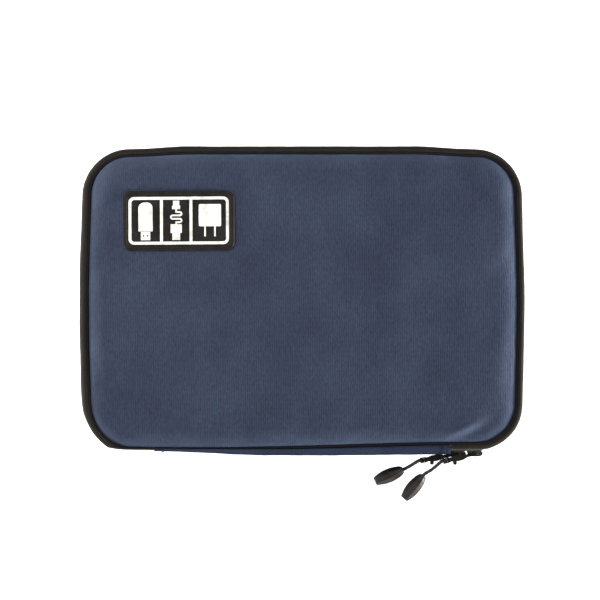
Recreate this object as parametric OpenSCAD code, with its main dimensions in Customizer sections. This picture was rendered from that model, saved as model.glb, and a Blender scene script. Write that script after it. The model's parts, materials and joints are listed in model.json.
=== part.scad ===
// Zipped cable organizer pouch: two padded halves joined by a fabric spine, with a double slider
// zipper, elastic loops in the base and a mesh pocket in the lid.
// Frame: millimetres, +Z up, origin at the middle of the underside, spine on -Y.

/* [Pouch] */
// Width of the closed pouch at the zipper
pouch_w = 244; // [236:1:260]
// Depth of the closed pouch at the zipper, without the spine
pouch_d = 168; // [160:1:184]
// Height of the closed pouch
pouch_h = 30; // [30:0.5:32]
// Radius of the four outline corners
corner_r = 25; // [24:0.5:30]
// How far the padded panels stay inside the outline
panel_inset = 4; // [3.5:0.1:5]
// Thickness of the outer fabric
fabric_t = 1; // [0.8:0.1:1.2]
// Length of the fabric spine
spine_len = 163.2; // [160:0.2:163.6]

/* [Badge] */
// Width of the moulded badge
badge_w = 62; // [61.5:0.5:70]
// Height of the moulded badge
badge_h = 33.4; // [32.2:0.2:38]
// Width of the raised rim round the badge
badge_rim = 2.7; // [2:0.1:3]

/* [Zipper] */
// Length of a zipper slider
slider_len = 9; // [8:0.1:9]
// Width of a zipper slider across the tape
slider_w = 8.2; // [7:0.1:8.4]
// Width of a pull tab
tab_w = 3.6; // [3.2:0.1:4]
// Radius of the pull cord
cord_r = 1.05; // [0.9:0.05:1.2]
// Length of the moulded grip on each cord
grip_len = 17; // [14:0.5:18]
// Largest radius of the moulded grip
grip_r = 4; // [3.5:0.1:4.1]

/* [Inside] */
// Width of each elastic strap
strap_w = 20; // [14:1:22]
// Width of the mesh pocket
pocket_w = 200; // [180:2:206]
// Diameter of the thread in the sewn lines
thread_d = 0.5; // [0.4:0.1:0.6]

/* [Hidden] */
$fn = 64;
seam_gap = 0.05;          // room between neighbouring soft layers

// heights of the layers, from the underside upwards
lining_t = 0.6;
back_foam_z0 = fabric_t;
back_foam_z1 = 4;
floor_z = back_foam_z1 + lining_t;          // inner face of the base
roof_z = 25.2;                              // inner face of the lid
lid_edge_z = pouch_h - 3.6;                 // where the crowned lid panel starts
zip_z = 15;                                 // plane of the zipper

// zipper: distances are measured outwards from the outline, negative is inside
tape_out = -1;
tape_in = -1.6;
teeth_out = -0.1;
teeth_in = -2.5;
teeth_gap = 0.8;                            // between the two rows of teeth, for the slider's post
teeth_h = 1.4;
gusset_edge = 5;                            // from the zipper plane to each gusset's edge
tape_hem = 6.5;                             // from the zipper plane to each tape's sewn edge

// spine
spine_y = -pouch_d / 2 - 1.4;               // outer face of the spine
spine_x = spine_len / 2;
spine_gap_x = spine_x + 0.4;                // half length of the opening in the gussets
fold_z = roof_z + 0.3;                      // height of the line on which the lid folds

// sliders
corner_x = pouch_w / 2 - corner_r;
slider_b_x = corner_x;
slider_a_x = slider_b_x - slider_len - 0.4;
plate_t = 0.75;
outer_plate_n = 0.25;
inner_plate_n = -4.25;
pin_n = 2;                                  // distance of the pull's pin from the outline
pin_r = 0.45;
eye_r = 0.95;
bail_half = 2.8;
bail_w = 1.6;
bail_top = 3.5;
arm_t = 1.3;

// pulls: angle in plan, where the wide tab starts and ends, and its height
pull_a_angle = 190;
pull_a_start = 8.6;
pull_a_end = 20.4;
pull_a_z = zip_z;
pull_b_angle = 193;
pull_b_start = 5.4;
pull_b_end = 17.4;
pull_b_z = zip_z + 3.75;
tab_t = 2.7;
nub_r = 1.2;                                // round nub on the side of each tab
loop_len = 2.6;                             // from the tab's eye to the end of the cord's loop
cord_pin_r = 0.6;
cord_hole_r = 0.68;
boss_w = 2.5;
grip_z = grip_r + 0.35;
grip_a_pos = [49.2, -98.1, grip_z];
grip_a_angle = 203;
grip_b_pos = [63.1, -104.7, grip_z];
grip_b_angle = 230;

// badge
badge_pos = [-68.2, 43.4, pouch_h + seam_gap];
badge_lean = 0.4;
badge_r = 4.6;
badge_t = 1;
rim_t = 1.5;
frame_w = 55.8;
frame_h = 26.6;
frame_r = 3.2;
line_w = 1.6;
divider_left = -9.6;
divider_right = 6.8;
print_t = 0.3;

// mesh pocket: middle line of its zipper, and heights under the lid
pocket_zip_y = 52;
pocket_low_y = -66;
pocket_z = 23.8;
pocket_tape_w = 5.5;
pocket_teeth_w = 0.9;
pocket_gap = 0.4;
pocket_slider_x = 85;
pocket_pin_z = 20.7;
pocket_pull_len = 11;
pocket_slider_len = 8;
pocket_slider_w = 6.6;
pocket_plate_low = 22.1;                    // underside of the lower plate
pocket_plate_high = 24.6;                   // underside of the upper plate

// elastic rows: place in y, loop radius, number of loops
strap_t = 0.9;
strap_x0 = -99;
ROWS = [[-46, 8.2, 9], [-8, 11, 7], [28, 6.4, 11]];

// ---------- shared shapes ----------

// Rectangle with round corners
module round_rect(w, d, r) {
    square([w - 2 * r, d], center = true);
    square([w, d - 2 * r], center = true);
    for (x = [-1, 1], y = [-1, 1])
        translate([x * (w / 2 - r), y * (d / 2 - r)]) circle(r);
}

// The pouch outline, grown by g
module outline(g) {
    round_rect(pouch_w + 2 * g, pouch_d + 2 * g, corner_r + g);
}

// Flat layer of the outline between two heights
module layer(g, z0, z1) {
    translate([0, 0, z0]) linear_extrude(z1 - z0) outline(g);
}

// Band round the outline between two distances and two heights
module band(g_out, g_in, z0, z1) {
    translate([0, 0, z0]) linear_extrude(z1 - z0) difference() {
        outline(g_out);
        outline(g_in);
    }
}

// Block that leaves room for the spine in a band
module spine_room(half_x = spine_gap_x) {
    translate([-half_x, -pouch_d, -1]) cube([2 * half_x, pouch_d * 0.7, pouch_h + 4]);
}

// Round bar from p to q
module bar(p, q, r) {
    v = q - p;
    translate(p)
        rotate([0, acos(v[2] / norm(v)), atan2(v[1], v[0])])
            cylinder(h = norm(v), r = r, $fn = 32);
}

// Block centred in x and y that stands on z0
module block(w, d, z0, z1) {
    translate([-w / 2, -d / 2, z0]) cube([w, d, z1 - z0]);
}

// ---------- base ----------

module back_panel() color([0.26, 0.33, 0.43]) layer(-panel_inset, 0, fabric_t);

module back_foam() color([0.25, 0.25, 0.25]) layer(-panel_inset - 2, back_foam_z0, back_foam_z1);

module back_lining() color([0.1, 0.1, 0.11]) layer(-panel_inset - 2, back_foam_z1, floor_z);

module back_piping() color([0.06, 0.05, 0.05])
    band(-panel_inset + 1.6, -panel_inset + seam_gap, 0.3, 2.3);

module back_gusset() color([0.18, 0.14, 0.1]) difference() {
    union() {
        band(0, -panel_inset + 1.7, 0.6, 0.6 + fabric_t);
        band(0, -fabric_t, 0.6, zip_z - gusset_edge);
    }
    spine_room();
}

module back_binding() color([0.05, 0.05, 0.05])
    band(-panel_inset - 2.1, -panel_inset - 4.4, floor_z, floor_z + 1);

module base_zipper_tape() color([0.05, 0.05, 0.05]) difference() {
    band(tape_out - 0.01, tape_in, zip_z - tape_hem, zip_z - teeth_gap / 2 - teeth_h);
    spine_room(spine_gap_x + 1.1);
}

module base_zipper_teeth() color([0.08, 0.08, 0.08]) difference() {
    band(teeth_out, teeth_in, zip_z - teeth_gap / 2 - teeth_h, zip_z - teeth_gap / 2);
    spine_room(spine_gap_x + 1.1);
}

// Metal clips that close both ends of the zipper
module zipper_end_stops() color([0.2, 0.2, 0.2])
    for (side = [-1, 1])
        translate([side * (spine_gap_x + 0.5), -pouch_d / 2 - (teeth_in + teeth_out) / 2, 0])
            block(1, teeth_out - teeth_in, zip_z - 1.8, zip_z + 1.8);

// ---------- spine ----------

module spine_panel() color([0.3, 0.38, 0.5]) {
    translate([-spine_x, spine_y, 0.6]) cube([spine_len, 0.8, roof_z - 0.6]);
    translate([-spine_x, spine_y, 0.6])
        cube([spine_len, -pouch_d / 2 + panel_inset - 1.7 - spine_y, fabric_t]);
}

module spine_stiffener() color([0.2, 0.2, 0.2])
    translate([-spine_x + 2, spine_y + 0.8, 2]) cube([spine_len - 4, 0.9, roof_z - 2.6]);

module spine_lining() color([0.1, 0.1, 0.11])
    translate([-spine_x, spine_y + 1.7, 1.65]) cube([spine_len, lining_t, roof_z - 1.85]);

// ---------- elastic loops ----------

// Side view of one strap: flat stretches with raised arches
module strap_profile(r, count) {
    pitch = 2 * (r + strap_t) + 2;
    difference() {
        union() {
            square([count * pitch + 2, strap_t]);
            for (i = [0:count - 1])
                translate([2 + i * pitch + r + strap_t, 0]) circle(r + strap_t);
        }
        for (i = [0:count - 1]) translate([2 + i * pitch + r + strap_t, 0]) circle(r);
        translate([-1, -2 * r]) square([count * pitch + 4, 2 * r]);
    }
}

module elastic_row(row) color([0.07, 0.07, 0.07])
    translate([strap_x0, row[0] + strap_w / 2, floor_z]) rotate([90, 0, 0])
        linear_extrude(strap_w) strap_profile(row[1], row[2]);

// Thread across each strap between its loops
module strap_stitches() color([0.5, 0.55, 0.6])
    for (row = ROWS, i = [0:row[2]])
        translate([strap_x0 + 1 + i * (2 * (row[1] + strap_t) + 2), row[0], floor_z + strap_t])
            block(thread_d, strap_w - 2, 0, thread_d);

// ---------- lid ----------

// Padded lid shape: g is the inset of the lower edge, top the height of the flat middle
module crowned(g, z0, top) {
    hull() {
        translate([0, 0, z0]) linear_extrude(0.2) outline(-g, $fn = 32);
        translate([0, 0, top - 1]) linear_extrude(0.5) outline(-g - 5.5, $fn = 32);
        translate([0, 0, top - 0.2]) linear_extrude(0.2) outline(-g - 10, $fn = 32);
    }
}

module front_panel() color([0.26, 0.33, 0.43]) difference() {
    crowned(panel_inset, lid_edge_z, pouch_h);
    crowned(panel_inset + 1.2, lid_edge_z - 0.5, pouch_h - 0.9);
}

module front_foam() color([0.25, 0.25, 0.25]) {
    layer(-panel_inset - 5, roof_z + lining_t, pouch_h - 2.4);
    layer(-panel_inset - 12, pouch_h - 2.4, pouch_h - 1);
}

module front_lining() color([0.1, 0.1, 0.11])
    layer(-panel_inset - 2, roof_z, roof_z + lining_t);

module front_piping() color([0.06, 0.05, 0.05])
    band(-panel_inset + 1.6, -panel_inset + seam_gap, pouch_h - 2.6, pouch_h - 0.6);

module front_gusset() color([0.18, 0.14, 0.1]) difference() {
    union() {
        band(0, -panel_inset + 1.7, pouch_h - 1.6, pouch_h - 0.6);
        band(0, -fabric_t, zip_z + gusset_edge, pouch_h - 0.6);
    }
    spine_room();
}

module front_binding() color([0.05, 0.05, 0.05])
    band(-panel_inset - 2.1, -panel_inset - 4.4, roof_z - 1, roof_z);

// The part of the spine fabric that turns over the fold and is sewn to the lid
module spine_flap() color([0.3, 0.38, 0.5]) {
    translate([-spine_x, spine_y, fold_z + 0.3])
        cube([spine_len, 0.9, pouch_h - 0.6 - fold_z - 0.3]);
    translate([-spine_x, spine_y, pouch_h - 1.6])
        cube([spine_len, -pouch_d / 2 + panel_inset - 1.7 - spine_y, 1]);
}

// Room in the lid's zipper half for the two parked sliders
module slider_room()
    translate([spine_gap_x, -pouch_d / 2 - 3, zip_z - 5])
        cube([slider_b_x + slider_len / 2 + 0.8 - spine_gap_x, 9, 5 + gusset_edge]);

module lid_zipper_tape() color([0.05, 0.05, 0.05]) difference() {
    band(tape_out - 0.01, tape_in, zip_z + teeth_gap / 2 + teeth_h, zip_z + tape_hem);
    spine_room(spine_gap_x + 1.1);
    slider_room();
}

module lid_zipper_teeth() color([0.08, 0.08, 0.08]) difference() {
    band(teeth_out, teeth_in, zip_z + teeth_gap / 2, zip_z + teeth_gap / 2 + teeth_h);
    spine_room(spine_gap_x + 1.1);
    slider_room();
}

// ---------- badge ----------

module on_badge() translate(badge_pos) rotate([0, 0, badge_lean]) children();

module badge_base() color([0.05, 0.05, 0.05]) on_badge() {
    linear_extrude(badge_t) round_rect(badge_w, badge_h, badge_r);
    translate([0, 0, badge_t]) linear_extrude(rim_t - badge_t) difference() {
        round_rect(badge_w, badge_h, badge_r);
        round_rect(badge_w - 2 * badge_rim, badge_h - 2 * badge_rim, badge_r - 1.2);
    }
}

// Memory stick, plug down: rounded body, then a plug with two small holes
stick_w = 7.9;
stick_top = 10.2;
stick_neck = -5.9;
plug_w = 5.2;
plug_low = -10.8;

module icon_stick() {
    translate([-stick_w / 2, stick_neck]) square([stick_w, stick_top - stick_neck - 3.2]);
    translate([-stick_w / 2, stick_neck + 4]) round_rect_at(stick_w, stick_top - stick_neck - 4, 3.2);
    difference() {
        translate([-plug_w / 2, plug_low]) square([plug_w, stick_neck - plug_low - 0.4]);
        for (x = [-1.1, 1.1]) translate([x - 0.35, plug_low + 2]) square([0.7, 1]);
    }
}

// Cable wound to and fro between two plugs
wire_w = 0.9;
wire_row = 1.9;
wire_y = -0.9;
wire_half = 2;

// Half a ring that joins two rows of wire
module wire_bend(side) difference() {
    circle((wire_row + wire_w) / 2, $fn = 32);
    circle((wire_row - wire_w) / 2, $fn = 32);
    translate([side > 0 ? -5 : 0, -5]) square([5, 10]);
}

module icon_cable() {
    translate([-1.7, 8.2]) square([3.4, 2.9]);
    translate([-2.2, 6.4]) square([4.4, 1.9]);
    translate([-3.1, -6.9]) square([6.2, 4.9]);
    translate([-2.15, -10.8]) square([4.3, 4]);
    translate([-wire_w / 2, -2.1]) square([wire_w, 2.1 + wire_y]);
    translate([-wire_w / 2, wire_y + 3 * wire_row]) square([wire_w, 6.5 - wire_y - 3 * wire_row]);
    for (i = [0:3])
        translate([i == 0 || i == 3 ? -wire_w / 2 : -wire_half, wire_y + i * wire_row - wire_w / 2])
            square([i == 0 || i == 3 ? wire_half + wire_w / 2 + 0.05 : 2 * wire_half, wire_w]);
    for (i = [0:2])
        translate([i == 1 ? -wire_half : wire_half, wire_y + (i + 0.5) * wire_row])
            wire_bend(i == 1 ? -1 : 1);
}

// Mains charger with two prongs
charger_w = 12.4;
charger_low = -3.3;
prong_x = 2.75;

module icon_charger() {
    translate([-charger_w / 2, charger_low]) round_rect_at(charger_w, charger_w, 0.8);
    for (x = [-prong_x, prong_x]) translate([x - 0.45, charger_low - 5.6]) square([0.9, 5.8]);
}

module round_rect_at(w, d, r) translate([w / 2, d / 2]) round_rect(w, d, r);

module badge_print() color([0.93, 0.93, 0.93]) on_badge() translate([0, 0, badge_t])
    linear_extrude(print_t) {
        difference() {
            round_rect(frame_w, frame_h, frame_r);
            round_rect(frame_w - 2 * line_w, frame_h - 2 * line_w, frame_r - line_w);
        }
        for (x = [divider_left, divider_right])
            translate([x - line_w / 2, -frame_h / 2 + 1]) square([line_w, frame_h - 2]);
        translate([(-frame_w / 2 + divider_left) / 2 + 0.3, 0]) icon_stick();
        translate([(divider_left + divider_right) / 2, 0]) icon_cable();
        translate([(frame_w / 2 + divider_right) / 2, 0]) icon_charger();
    }

// Sewn line round the badge, in short stitches on the rim
module badge_stitches() color([0.12, 0.12, 0.12]) on_badge() translate([0, 0, rim_t]) {
    half_w = (badge_w - badge_rim) / 2;
    half_h = (badge_h - badge_rim) / 2;
    for (s = [-1, 1], x = [-half_w + 4.5:3:half_w - 4])
        translate([x, s * half_h, 0]) block(2, thread_d, 0, thread_d / 2);
    for (s = [-1, 1], y = [-half_h + 4.5:3:half_h - 4])
        translate([s * half_w, y, 0]) block(thread_d, 2, 0, thread_d / 2);
}

// ---------- mesh pocket ----------

mesh_y0 = pocket_low_y + 3;
mesh_y1 = pocket_zip_y - pocket_gap / 2 - pocket_teeth_w - pocket_tape_w;

module mesh_pocket() color([0.2, 0.2, 0.22, 0.7])
    translate([-pocket_w / 2 + 3, mesh_y0, pocket_z - 0.2])
        cube([pocket_w - 6, mesh_y1 - mesh_y0, 0.5]);

// Folded edging that holds the mesh on three sides
module pocket_binding() color([0.05, 0.05, 0.05]) difference() {
    translate([-pocket_w / 2, pocket_low_y, pocket_z - 0.8])
        cube([pocket_w, pocket_zip_y + 7 - pocket_low_y, roof_z - pocket_z + 0.8]);
    translate([-pocket_w / 2 + 3, mesh_y0, 0]) cube([pocket_w - 6, pouch_d, pouch_h]);
}

module pocket_half(side, d0, d1, z0, z1)
    translate([-pocket_w / 2 + 3, side > 0 ? pocket_zip_y + d0 : pocket_zip_y - d1, z0])
        cube([pocket_w - 6, d1 - d0, z1 - z0]);

module pocket_zipper_tape() color([0.05, 0.05, 0.05])
    for (side = [-1, 1])
        pocket_half(side, pocket_gap / 2 + pocket_teeth_w,
            pocket_gap / 2 + pocket_teeth_w + pocket_tape_w, pocket_z - 0.2, pocket_z + 0.2);

module pocket_zipper_teeth() color([0.08, 0.08, 0.08])
    for (side = [-1, 1])
        pocket_half(side, pocket_gap / 2, pocket_gap / 2 + pocket_teeth_w,
            pocket_z - 0.6, pocket_z + 0.6);

module pocket_end_stops() color([0.2, 0.2, 0.2])
    for (side = [-1, 1])
        translate([side * (pocket_w / 2 - 4.5), pocket_zip_y, 0])
            block(2, 3, pocket_z - 1, pocket_z - 0.6);

// Bail of a slider along local x, standing out along local z from height h0 to h1
module bail(half, w, h0, h1, wall) {
    for (s = [-1, 1]) translate([s * (half - wall / 2), 0, 0]) block(wall, w, h0, h1);
    block(2 * half, w, h1 - wall, h1);
}

module pocket_slider() color([0.1, 0.1, 0.1]) translate([pocket_slider_x, pocket_zip_y, 0]) {
    block(pocket_slider_len, pocket_slider_w, pocket_plate_low, pocket_plate_low + 0.9);
    block(pocket_slider_len, pocket_slider_w, pocket_plate_high, pocket_plate_high + 0.5);
    translate([2.6, 0, 0])
        block(2, pocket_gap - 0.1, pocket_plate_low + 0.8, pocket_plate_high + 0.1);
    translate([0, 0, pocket_plate_low + 0.1]) mirror([0, 0, 1]) bail(2.4, 1.4, 0, 2.6, 0.6);
}

module pocket_pull() color([0.1, 0.1, 0.1])
    translate([pocket_slider_x, pocket_zip_y, pocket_pin_z]) {
        rotate([90, 0, 0]) cylinder(h = 4, r = pin_r, center = true, $fn = 32);
        for (s = [-1, 1]) translate([0, s * 1.5, 0]) {
            rotate([90, 0, 0]) cylinder(h = 1, r = 0.8, center = true, $fn = 32);
            translate([-3.6, -0.5, -0.55]) cube([3.6, 1, 1.1]);
        }
        translate([-pocket_pull_len, -2, -0.55]) cube([pocket_pull_len - 3.2, 4, 1.1]);
    }

// ---------- sliders and pulls ----------

// One slider in its own frame: x along the zipper, y outwards, z across the tape
module slider_shape() {
    for (n = [outer_plate_n, inner_plate_n])
        translate([-slider_len / 2, n, -slider_w / 2]) cube([slider_len, plate_t, slider_w]);
    translate([slider_len / 2 - 3.4, inner_plate_n + 0.1, -0.3])
        cube([2.6, outer_plate_n - inner_plate_n, 0.6]);
    translate([0, outer_plate_n + plate_t - 0.05, 0]) rotate([-90, 0, 0])
        bail(bail_half, bail_w, 0, bail_top - outer_plate_n - plate_t, 0.6);
}

module slider_a() color([0.1, 0.1, 0.1])
    translate([slider_a_x, -pouch_d / 2, zip_z]) mirror([0, 1, 0]) slider_shape();

module slider_b() color([0.1, 0.1, 0.1])
    translate([slider_b_x, -pouch_d / 2, zip_z]) mirror([0, 1, 0]) slider_shape();

// One pull with its pin at the origin and its tab along +x; lift is the tab's height above the pin
module pull_shape(start, end, lift) {
    neck_end = start + 1;
    cylinder(h = bail_w + 2 * arm_t + 0.2, r = pin_r, center = true, $fn = 32);
    for (s = [-1, 1]) translate([0, 0, s * (bail_w / 2 + 0.15 + arm_t / 2)]) {
        cylinder(h = arm_t, r = eye_r, center = true, $fn = 32);
        translate([0, -eye_r + 0.1, -arm_t / 2]) cube([neck_end, 2 * eye_r - 0.2, arm_t]);
    }
    translate([4, -eye_r + 0.1, -bail_w / 2 - 0.2])
        cube([neck_end - 4, 2 * eye_r - 0.2, bail_w + 0.4]);
    translate([start, -eye_r + 0.1, 0]) cube([neck_end - start, 2 * eye_r - 0.2, lift + 0.1]);
    translate([0, 0, lift - tab_t / 2]) {
        translate([start, -tab_w / 2, 0]) cube([end - start - 1.8, tab_w, tab_t]);
        translate([start + (end - start) * 0.6, tab_w / 2 + 0.7, 0.6])
            cylinder(h = tab_t - 1.2, r = nub_r, $fn = 32);
    }
    difference() {
        translate([end, 0, lift]) {
            rotate([90, 0, 0]) cylinder(h = boss_w, r = tab_t / 2, center = true, $fn = 32);
            translate([-2.4, -boss_w / 2, -tab_t / 2]) cube([2.4, boss_w, tab_t]);
        }
        translate([end, 0, lift]) rotate([90, 0, 0])
            cylinder(h = tab_w, r = cord_hole_r, center = true, $fn = 32);
    }
}

module at_pin(x) translate([x, -pouch_d / 2 - pin_n, zip_z]) children();

module pull_a() color([0.07, 0.07, 0.07])
    at_pin(slider_a_x) rotate([0, 0, pull_a_angle])
        pull_shape(pull_a_start, pull_a_end, pull_a_z - zip_z);

module pull_b() color([0.07, 0.07, 0.07])
    at_pin(slider_b_x) rotate([0, 0, pull_b_angle])
        pull_shape(pull_b_start, pull_b_end, pull_b_z - zip_z);

function tab_end(x, angle, end, z) =
    [x + end * cos(angle), -pouch_d / 2 - pin_n + end * sin(angle), z];
function grip_near(pos, angle) =
    pos - (grip_len / 2 - 0.5) * [cos(angle), sin(angle), 0];

// Cord: a loop through the tab's eye, then a length down to the grip
module cord_shape(eye, angle, near) {
    loop = eye + loop_len * [cos(angle), sin(angle), 0];
    translate(eye) rotate([0, 0, angle]) {
        rotate([90, 0, 0]) cylinder(h = boss_w + 1.6, r = cord_pin_r, center = true, $fn = 32);
        for (s = [-1, 1])
            translate([-0.6, s * (boss_w / 2 + 0.45) - 0.35, -0.6]) cube([3.6, 0.7, 1.2]);
        translate([1.9, -boss_w / 2 - 0.8, -0.6]) cube([1.1, boss_w + 1.6, 1.2]);
    }
    bar(loop, near, cord_r);
}

module cord_a() color([0.07, 0.06, 0.06])
    cord_shape(tab_end(slider_a_x, pull_a_angle, pull_a_end, pull_a_z), pull_a_angle,
        grip_near(grip_a_pos, grip_a_angle));

module cord_b() color([0.07, 0.06, 0.06])
    cord_shape(tab_end(slider_b_x, pull_b_angle, pull_b_end, pull_b_z), pull_b_angle,
        grip_near(grip_b_pos, grip_b_angle));

// Barrel grip, moulded over the end of the cord
module grip_shape(pos, angle, near, eye, pull_angle)
    difference() {
        translate(pos) rotate([0, 0, angle]) rotate([0, 90, 0]) rotate_extrude()
            polygon([
                [0, -grip_len / 2], [grip_r * 0.58, -grip_len / 2], [grip_r * 0.9, -grip_len * 0.2],
                [grip_r, grip_len * 0.05], [grip_r * 0.9, grip_len * 0.28],
                [grip_r * 0.6, grip_len / 2], [0, grip_len / 2]
            ]);
        bar(eye + loop_len * [cos(pull_angle), sin(pull_angle), 0],
            near + 0.02 * (near - eye), cord_r + seam_gap);
    }

module grip_a() color([0.13, 0.12, 0.12])
    grip_shape(grip_a_pos, grip_a_angle, grip_near(grip_a_pos, grip_a_angle),
        tab_end(slider_a_x, pull_a_angle, pull_a_end, pull_a_z), pull_a_angle);

module grip_b() color([0.13, 0.12, 0.12])
    grip_shape(grip_b_pos, grip_b_angle, grip_near(grip_b_pos, grip_b_angle),
        tab_end(slider_b_x, pull_b_angle, pull_b_end, pull_b_z), pull_b_angle);

// ---------- the pouch ----------

back_panel();
back_foam();
back_lining();
back_piping();
back_gusset();
back_binding();
base_zipper_tape();
base_zipper_teeth();
zipper_end_stops();
spine_panel();
spine_stiffener();
spine_lining();
elastic_row(ROWS[0]);  // elastic_row_front
elastic_row(ROWS[1]);  // elastic_row_middle
elastic_row(ROWS[2]);  // elastic_row_rear
strap_stitches();
front_panel();
front_foam();
front_lining();
front_piping();
front_gusset();
front_binding();
spine_flap();
lid_zipper_tape();
lid_zipper_teeth();
badge_base();
badge_print();
badge_stitches();
mesh_pocket();
pocket_binding();
pocket_zipper_tape();
pocket_zipper_teeth();
pocket_end_stops();
pocket_slider();
pocket_pull();
slider_a();
slider_b();
pull_a();
pull_b();
cord_a();
cord_b();
grip_a();
grip_b();
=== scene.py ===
"""Looks of the zipped cable organizer pouch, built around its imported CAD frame.

Lengths are in millimetres until mesh_piece() turns them into metres. "Out" is the distance outwards
from the pouch's outline in plan, so a negative value is inside it.
"""

import json
import math

import bmesh
import bpy
import numpy as np
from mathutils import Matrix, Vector, noise


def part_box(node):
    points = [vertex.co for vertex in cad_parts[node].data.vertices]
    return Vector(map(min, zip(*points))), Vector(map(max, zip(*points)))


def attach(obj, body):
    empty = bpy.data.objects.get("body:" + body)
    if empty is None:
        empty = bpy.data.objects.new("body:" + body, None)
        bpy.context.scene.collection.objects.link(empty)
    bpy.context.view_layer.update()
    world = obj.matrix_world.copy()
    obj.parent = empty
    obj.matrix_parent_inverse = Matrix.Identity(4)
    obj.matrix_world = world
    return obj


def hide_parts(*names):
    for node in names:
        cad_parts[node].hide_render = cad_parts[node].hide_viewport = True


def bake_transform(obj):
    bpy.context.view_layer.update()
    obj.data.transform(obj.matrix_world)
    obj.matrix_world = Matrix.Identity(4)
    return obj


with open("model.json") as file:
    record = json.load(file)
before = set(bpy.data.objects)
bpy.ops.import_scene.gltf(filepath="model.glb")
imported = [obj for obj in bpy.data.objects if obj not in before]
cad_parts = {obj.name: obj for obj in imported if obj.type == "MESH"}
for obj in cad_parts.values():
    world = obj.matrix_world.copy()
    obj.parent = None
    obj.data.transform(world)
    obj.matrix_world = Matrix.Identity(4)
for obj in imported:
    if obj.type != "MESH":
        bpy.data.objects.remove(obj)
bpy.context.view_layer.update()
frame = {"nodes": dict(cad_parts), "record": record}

MM = 0.001


# ---------- sizes read from the frame ----------

def box_mm(node):
    low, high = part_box(node)
    return np.array(low) * 1000, np.array(high) * 1000


def joint(name):
    return next(j for j in frame["record"]["behaviour"]["joints"] if j["name"] == name)


gusset_low, gusset_high = box_mm("front_gusset")
panel_high = box_mm("front_panel")[1]
base_gusset_high = box_mm("back_gusset")[1]
lining_low, lining_high = box_mm("back_lining")
roof_low, roof_high = box_mm("front_lining")
spine_low, spine_high = box_mm("spine_panel")
badge_low, badge_high = box_mm("badge_base")

HALF_W = gusset_high[0]
HALF_D = gusset_high[1]
CORNER_X = joint("slider_b_travel")["pos_m"][0] * 1000
CORNER_R = HALF_W - CORNER_X
TOP_Z = panel_high[2]
ZIP_Z = joint("slider_b_travel")["pos_m"][2] * 1000
SPINE_X = spine_high[0]
SPINE_Y = spine_low[1]
PANEL_OUT = panel_high[0] - HALF_W
ZIP_END_X = SPINE_X + 1.5
LID_ZIP_START_X = ZIP_END_X + 20.5    # the lid's half of the zipper starts past the parked sliders


# ---------- the soft outline ----------

# How far it strays from the straight CAD outline. Edges bow outwards and tuck in at their ends.
REAR_BOW, SPINE_BOW, SIDE_BOW = 1.55, 0.8, 1.7
REAR_TUCK, SIDE_TUCK = 0.5, 0.5
# The lid's rim at the spine stands out on the left and back on the right.
RIM_LEFT, RIM_RIGHT = -2.3, 0.6
# The base draws in below the rim near its two spine corners.
UNDER_LEFT, UNDER_RIGHT = 1.8, 1.6
TRIM_X, TRIM_Y = 1.5, 0.9             # the left spine corner, inwards
LID_SHIFT = 0.8                       # the top of the lid, to the right
# The lid's overhang at the spine counts from this far inside it, and more on the left. A share of
# it is drawn back.
OVERHANG_FROM, LEFT_FROM, DRAWN_BACK = 0.7, 0.8, 0.65


def smoothstep(value, low, high):
    t = np.clip((value - low) / (high - low), 0, 1)
    return t * t * (3 - 2 * t)


def hump(t):
    """1 in the middle, falling smoothly to 0 at -1 and at 1."""
    return np.cos(np.pi * np.clip(t, -1, 1) / 2) ** 2


def soften(points):
    """Moves points from the straight CAD outline to the soft, slightly askew one."""
    p = np.array(points, dtype=float)
    x, y, z = p[:, 0].copy(), p[:, 1].copy(), p[:, 2]
    left = smoothstep(-x, 15, 85)
    rear = REAR_BOW * (1 - smoothstep(np.abs(x), 62, 98))
    p[:, 1] += np.where(y > 0, rear, SPINE_BOW * hump(x / HALF_W)) * y / HALF_D
    p[:, 1] -= REAR_TUCK * smoothstep(y, 40, 84)
    p[:, 0] += (SIDE_BOW * hump(y / HALF_D) - SIDE_TUCK) * x / HALF_W
    rim = smoothstep(z, 22, 27.5) * smoothstep(-y, 45, 78)
    p[:, 1] += rim * (RIM_LEFT + (RIM_RIGHT - RIM_LEFT) * smoothstep(x, -80, 85))
    under = (1 - smoothstep(z, 20, 26)) * smoothstep(-y, 50, 84)
    p[:, 1] += under * (UNDER_LEFT * left + UNDER_RIGHT * smoothstep(x, 96, 112))
    corner = smoothstep(-x, 85, 120) * smoothstep(-y, 45, 80)
    p[:, 0] += TRIM_X * corner + LID_SHIFT * smoothstep(z, 23.5, 28)
    p[:, 1] += TRIM_Y * corner
    over = np.maximum(-p[:, 1] - (HALF_D - OVERHANG_FROM - LEFT_FROM * left), 0)
    p[:, 1] += DRAWN_BACK * over * smoothstep(z, 19, 24)
    return p


# ---------- mesh helpers ----------

def new_object(name, data):
    obj = bpy.data.objects.new(name, data)
    bpy.context.scene.collection.objects.link(obj)
    return obj


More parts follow.
